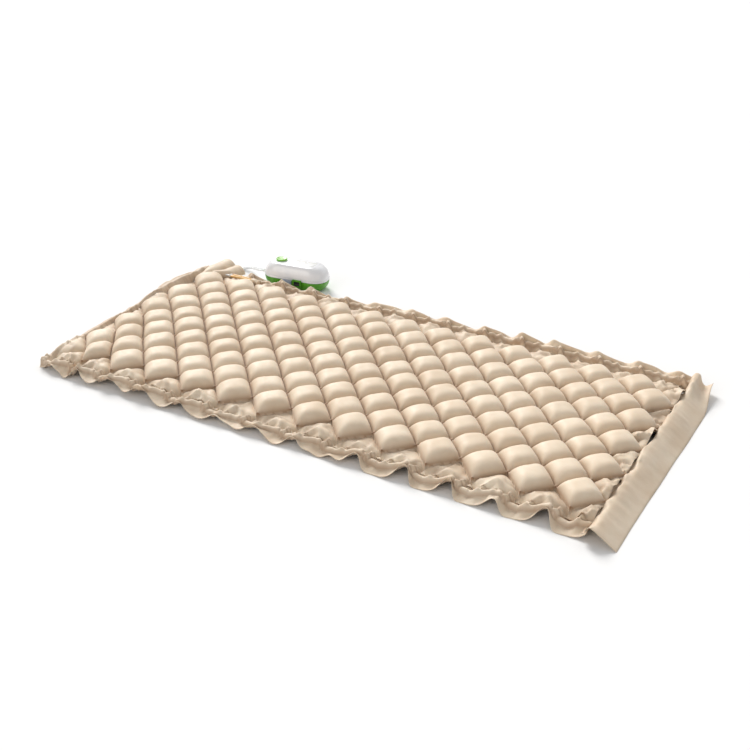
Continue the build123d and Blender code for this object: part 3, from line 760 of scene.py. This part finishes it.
# Pump: modelled about its own centre, then turned and set down beside the pad.
# Each shell level is a height, a length, a depth and a corner radius.
pump = {"place": (-0.590, 0.563, 0), "turn": 8.0, "segments": 96,
        "upper": [(0.0370, 0.2370, 0.1100, 0.0485), (0.0376, 0.2395, 0.1125, 0.0496),
                  (0.0386, 0.2405, 0.1135, 0.0500), (0.0425, 0.2410, 0.1140, 0.0500),
                  (0.0432, 0.2396, 0.1126, 0.0496), (0.0442, 0.2394, 0.1124, 0.0495),
                  (0.0450, 0.2405, 0.1135, 0.0499), (0.050, 0.2385, 0.1125, 0.0496),
                  (0.060, 0.2335, 0.1100, 0.0490), (0.068, 0.2265, 0.1065, 0.0475),
                  (0.075, 0.2165, 0.1015, 0.0455), (0.0805, 0.2050, 0.0955, 0.0430),
                  (0.0840, 0.1950, 0.0900, 0.0405), (0.0862, 0.1860, 0.0850, 0.0385),
                  (0.0874, 0.1790, 0.0810, 0.0368), (0.0879, 0.1730, 0.0775, 0.0355),
                  (0.0880, 0.1640, 0.0715, 0.0330)],
        "lower": [(0.0040, 0.2000, 0.0930, 0.0385), (0.0043, 0.2060, 0.0965, 0.0400),
                  (0.0060, 0.2120, 0.1000, 0.0415), (0.0090, 0.2190, 0.1035, 0.0440),
                  (0.0140, 0.2270, 0.1070, 0.0465), (0.0200, 0.2330, 0.1098, 0.0480),
                  (0.0260, 0.2370, 0.1115, 0.0490), (0.0330, 0.2390, 0.1125, 0.0495),
                  (0.0364, 0.2390, 0.1125, 0.0495), (0.0368, 0.2360, 0.1100, 0.0480)],
        "bezelWindow": (0.0068, 0.0412, -0.07, -0.0438, 0.0148, 0.0432),
        "panelWindow": (-0.0362, 0.0022, -0.07, -0.0545, 0.0218, 0.0382)}
onPump = Matrix.Translation(pump["place"]) @ Matrix.Rotation(math.radians(pump["turn"]), 4, "Z")


def roundedPlace(angle, length, depth, radius):
    cx, cy = math.cos(angle), math.sin(angle)
    return (math.copysign(length / 2 - radius, cx) + radius * cx,
            math.copysign(depth / 2 - radius, cy) + radius * cy)


def loftShell(levels):
    bm = bmesh.new()
    count = pump["segments"]
    bmesh.ops.create_circle(bm, cap_ends=False, segments=count, radius=1)
    bmesh.ops.rotate(bm, verts=bm.verts, cent=(0, 0, 0), matrix=Matrix.Rotation(math.pi / count, 3, "Z"))
    angle = bm.verts.layers.float.new("angle")
    for vertex in bm.verts:
        vertex[angle] = math.atan2(vertex.co.y, vertex.co.x)
    ring, rim = bm.verts[:], bm.edges[:]
    bmesh.ops.contextual_create(bm, geom=rim)
    for number, (z, length, depth, radius) in enumerate(levels):
        if number:
            ring, rim = growRim(bm, rim)
        for vertex in ring:
            vertex.co = (*roundedPlace(vertex[angle], length, depth, radius), z)
    bmesh.ops.contextual_create(bm, geom=rim)
    bmesh.ops.recalc_face_normals(bm, faces=bm.faces)
    return bm


def block(x0, x1, y0, y1, z0, z1):
    bm = bmesh.new()
    bmesh.ops.create_cube(bm, size=1)
    bmesh.ops.scale(bm, verts=bm.verts, vec=(x1 - x0, y1 - y0, z1 - z0))
    bmesh.ops.translate(bm, verts=bm.verts, vec=((x0 + x1) / 2, (y0 + y1) / 2, (z0 + z1) / 2))
    return bm


def setDown(bm):
    bmesh.ops.transform(bm, matrix=onPump, verts=bm.verts)
    return bm


def cutWindow(piece, box):
    tool = bpy.data.objects.new("window", meshFrom(setDown(block(*box)), "window"))
    link(tool)
    modifier = piece.modifiers.new("window", "BOOLEAN")
    modifier.operation, modifier.object, modifier.solver = "DIFFERENCE", tool, "EXACT"
    depsgraph = bpy.context.evaluated_depsgraph_get()
    cut = bpy.data.meshes.new_from_object(piece.evaluated_get(depsgraph))
    piece.modifiers.clear()
    piece.data = cut
    bpy.data.objects.remove(tool)


for half, slotName in (("upper", "white_shell"), ("lower", "green_shell")):
    shell = keepForm(f"pump_{half}_case", setDown(loftShell(pump[half])), slotName, "mattress",
                     [f"pump_{half}_shell"])
    cutWindow(shell, pump["bezelWindow"])
    cutWindow(shell, pump["panelWindow"])
print("pump shells made")


def softEdges(bm, edges, offset, segments):
    bmesh.ops.bevel(bm, geom=edges, offset=offset, segments=segments, affect="EDGES", profile=0.5,
                    material=-1)


# Pressure dial: a ribbed knob with a dished top and a pointer; its levels are radius and height.
dial = {"x": -0.062, "ribs": 36, "ribDepth": 0.022, "ribInside": 0.0192, "ribTop": 0.0942,
        "levels": [(0.0190, 0.0890), (0.0198, 0.0893), (0.0200, 0.0898), (0.0200, 0.0928),
                   (0.0197, 0.0940), (0.0188, 0.0948), (0.0175, 0.0950), (0.0160, 0.0949),
                   (0.0150, 0.0943), (0.0110, 0.0940), (0.0040, 0.0939)],
        "pointer": (-0.0631, -0.0609, 0.005, 0.0145, 0.0936, 0.0949)}


def pressureDial():
    bm = bmesh.new()
    count = dial["ribs"] * 4
    levels = dial["levels"]
    bmesh.ops.create_circle(bm, cap_ends=False, segments=count, radius=levels[0][0])
    rim = bm.edges[:]
    bmesh.ops.contextual_create(bm, geom=rim)
    for vertex in bm.verts:
        vertex.co.z = levels[0][1]
    for before, (radius, z) in zip(levels, levels[1:]):
        share = radius / before[0]
        ring, rim = growRim(bm, rim)
        for vertex in ring:
            vertex.co = (vertex.co.x * share, vertex.co.y * share, z)
    bmesh.ops.contextual_create(bm, geom=rim)
    for vertex in bm.verts:
        radius = math.hypot(vertex.co.x, vertex.co.y)
        if radius > dial["ribInside"] and vertex.co.z < dial["ribTop"]:
            wave = math.cos(dial["ribs"] * math.atan2(vertex.co.y, vertex.co.x))
            ripple = 1 - dial["ribDepth"] * (0.5 + 0.5 * wave)
            vertex.co.x *= ripple
            vertex.co.y *= ripple
    bmesh.ops.recalc_face_normals(bm, faces=bm.faces)
    bmesh.ops.translate(bm, verts=bm.verts, vec=(dial["x"], 0, 0))
    keepForm("dial_knob", setDown(bm), "dial_green", "dial", ["pressure_dial"])
    mark = block(*dial["pointer"])
    softEdges(mark, mark.edges[:], 0.0004, 2)
    keepForm("dial_pointer", setDown(mark), "white_shell", "dial")


pressureDial()


def plate(box, corner, edge, axis=2):
    # a rounded plate; axis is the one its thickness lies along
    bm = block(*box)
    upright = [e for e in bm.edges if abs((e.verts[0].co - e.verts[1].co)[axis]) > 1e-6]
    softEdges(bm, upright, corner, 8)
    rims = [e for e in bm.edges if abs((e.verts[0].co - e.verts[1].co)[axis]) < 1e-6]
    softEdges(bm, rims, edge, 2)
    return bm


# The flat film sleeve that both latex tubes run into.
sleeve = {"box": (-0.6945, -0.668, 0.4145, 0.4375, 0.0325, 0.0465), "middle": 0.426, "corner": 0.0055,
          "edge": 0.0012, "cuts": 6, "droop": 0.006, "ripple": 0.0006, "waist": 0.12}


def inletSleeve():
    bm = plate(sleeve["box"], sleeve["corner"], sleeve["edge"], axis=0)
    longEdges = [e for e in bm.edges if abs((e.verts[0].co - e.verts[1].co).x) > 0.01]
    bmesh.ops.subdivide_edges(bm, edges=longEdges, cuts=sleeve["cuts"])
    start, end = sleeve["box"][:2]
    for vertex in bm.verts:
        t = (vertex.co.x - start) / (end - start)
        vertex.co.z -= sleeve["droop"] * t * t + sleeve["ripple"] * math.sin(9 * t)
        waist = 1 - sleeve["waist"] * math.sin(math.pi * t)
        vertex.co.y = sleeve["middle"] + (vertex.co.y - sleeve["middle"]) * waist
    keepForm("inlet_sleeve", bm, "sheet_film", "mattress", ["twin_inlet_port"])


inletSleeve()
print("inlet tubes made")


# Top panel: a thin plate with plain bars on it, each given as its x and y limits.
panel = {"box": (-0.022, 0.082, -0.029, 0.029, 0.0876, 0.0886), "barHeights": (0.0884, 0.0889),
         "bars": [(-0.012, 0.006, 0.012, 0.021), (0.012, 0.030, 0.012, 0.021),
                  (0.036, 0.072, 0.012, 0.021), (-0.012, 0.020, -0.004, 0.004),
                  (0.027, 0.040, -0.004, 0.004), (0.046, 0.072, -0.004, 0.004),
                  (-0.012, 0.034, -0.019, -0.013), (0.041, 0.072, -0.019, -0.013)]}


def topPanel():
    keepForm("top_panel_plate", setDown(plate(panel["box"], 0.008, 0.0003)), "panel_grey", "mattress",
             ["top_panel"])
    joined = bmesh.new()
    for limits in panel["bars"]:
        joined.from_mesh(meshFrom(plate((*limits, *panel["barHeights"]), 0.0012, 0.0001), "bar"))
    keepForm("top_panel_marks", setDown(joined), "inner_plastic", "mattress")


topPanel()
print("pump top dressed")


# CAD nodes that stay get their finish by slot.
slotOf = {part["node"]: part["material_slot"] for part in frame["record"]["subparts"]}
for nodeName, node in frame["nodes"].items():
    node.data.materials.clear()
    node.data.materials.append(finishes[slotOf[nodeName]])
print("frame nodes finished")

# Floor and soft studio light.
bm = bmesh.new()
bmesh.ops.create_grid(bm, x_segments=1, y_segments=1, size=12)
floor = bpy.data.objects.new("floor", meshFrom(bm, "floor"))
link(floor)
paper = Finish("white paper floor")
paper.feed(colour=paper.blend(paper.noise(0.8, 2), (0.93, 0.93, 0.93, 1), (0.90, 0.90, 0.90, 1)),
           rough=0.8, gloss=0.1)
floor.data.materials.append(paper.material)

lights = {
    "key": {"from": (-0.66, 0.64, 0.60), "power": 3.05, "soft": 26, "tint": (1.0, 0.985, 0.965)},
    "back": {"from": (0.35, 1.0, 0.75), "power": 0.45, "soft": 50, "tint": (1.0, 0.99, 0.98)},
    "fill": {"from": (-0.35, -1.0, 0.40), "power": 0.80, "soft": 40, "tint": (1.0, 0.99, 0.98)},
}
for lightName, lamp in lights.items():
    data = bpy.data.lights.new(lightName, "SUN")
    data.energy, data.color, data.angle = lamp["power"], lamp["tint"], math.radians(lamp["soft"])
    light = bpy.data.objects.new(lightName, data)
    light.rotation_euler = (-Vector(lamp["from"])).to_track_quat("-Z", "Y").to_euler()
    link(light)
world = bpy.data.worlds.new("studio")
world.use_nodes = True
world.node_tree.nodes["Background"].inputs["Color"].default_value = (1, 1, 1, 1)
world.node_tree.nodes["Background"].inputs["Strength"].default_value = 0.42
bpy.context.scene.world = world
bpy.context.scene.view_settings.view_transform = "Standard"
print("studio lit")
